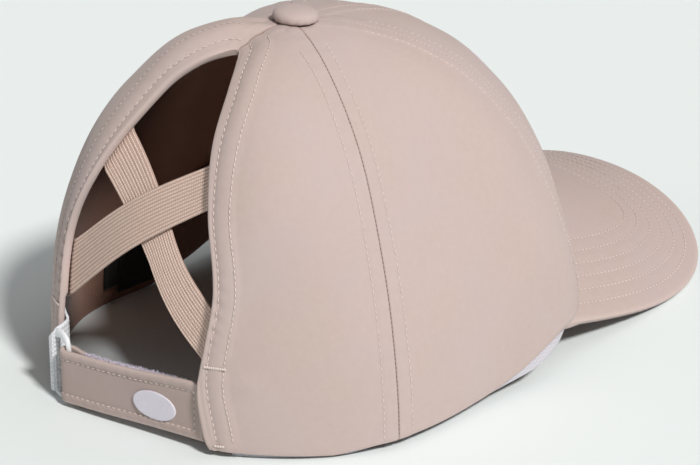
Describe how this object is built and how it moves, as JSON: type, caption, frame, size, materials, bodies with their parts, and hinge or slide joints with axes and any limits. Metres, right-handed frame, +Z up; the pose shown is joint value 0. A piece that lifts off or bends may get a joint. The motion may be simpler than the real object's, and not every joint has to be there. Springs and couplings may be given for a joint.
{
  "type": "baseball cap",
  "caption": "Panelled cloth cap with curved brim, top button, crossed elastic bands over a ponytail opening and a folded closure strap on a ring.",
  "frame": {"origin": "centre of the overall box in plan, on the surface the cap lies on", "axes": "+X towards the wearer's left, +Y towards the back of the head, +Z up; the brim points to -Y"},
  "size_m": [0.1612, 0.258, 0.1265],
  "materials": {
    "cotton_twill": "matte brushed cotton twill",
    "sweatband_cloth": "matte wicking cloth",
    "ribbed_elastic": "matte woven ribs",
    "pile_tape": "fuzzy pile",
    "white_plastic": "smooth, slightly glossy",
    "white_webbing": "woven tape",
    "black_label": "satin woven label",
    "pale_patch": "matte raised patch"
  },
  "bodies": {
    "root": {"crown_panel_front_right": "cotton_twill", "crown_panel_side_right": "cotton_twill", "crown_panel_back_right": "cotton_twill", "crown_panel_front_left": "cotton_twill", "crown_panel_side_left": "cotton_twill", "crown_panel_back_left": "cotton_twill", "crown_button": "cotton_twill", "brim": "cotton_twill", "sweatband": "sweatband_cloth", "elastic_band_outer": "ribbed_elastic", "elastic_band_inner": "ribbed_elastic", "closure_strap": "cotton_twill", "closure_pile_tape": "pile_tape", "strap_ring": "white_plastic", "ring_webbing": "white_webbing", "care_label": "black_label", "size_tab": "black_label", "front_patch": "pale_patch", "strap_patch": "pale_patch"}
  },
  "joints": []
}
